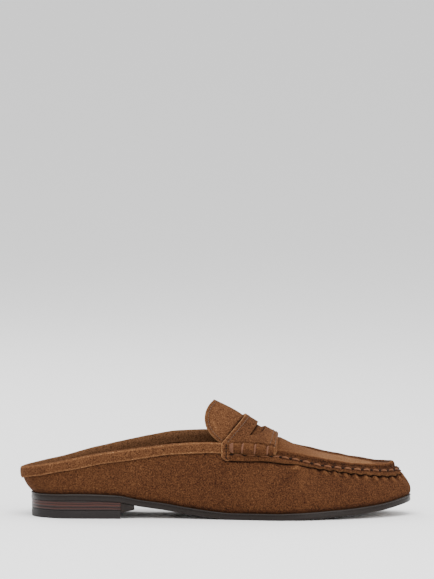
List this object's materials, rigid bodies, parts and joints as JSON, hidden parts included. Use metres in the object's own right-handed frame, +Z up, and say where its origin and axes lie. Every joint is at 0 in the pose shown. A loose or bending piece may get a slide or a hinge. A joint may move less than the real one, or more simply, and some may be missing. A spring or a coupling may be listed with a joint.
{
  "type": "penny loafer mule",
  "caption": "Right suede penny loafer mule with an open heel, slotted saddle strap, beef rolls, raised apron seam and a low stacked heel.",
  "frame": {"origin": "middle of the heel's rest face, on the floor", "axes": "+X towards the toe, +Y towards the inner side of the foot, +Z up"},
  "size_m": [0.2653, 0.0869, 0.079],
  "materials": {
    "suede": "brushed suede",
    "suede_light": "brushed suede",
    "suede_lining": "flesh side",
    "edge_lacquer": "waxed edge",
    "stack_leather": "waxed edge",
    "lift_rubber": "satin"
  },
  "bodies": {
    "root": {"outsole": "edge_lacquer", "heel_top_lift": "lift_rubber", "heel_lift_1": "stack_leather", "heel_lift_2": "stack_leather", "heel_lift_3": "stack_leather", "heel_breast": "edge_lacquer", "insole": "suede_lining", "upper": "suede", "collar_binding": "suede_light", "apron": "suede", "tongue": "suede_light", "saddle_strap": "suede_light", "beef_roll_lateral": "suede", "beef_roll_medial": "suede"}
  },
  "joints": []
}
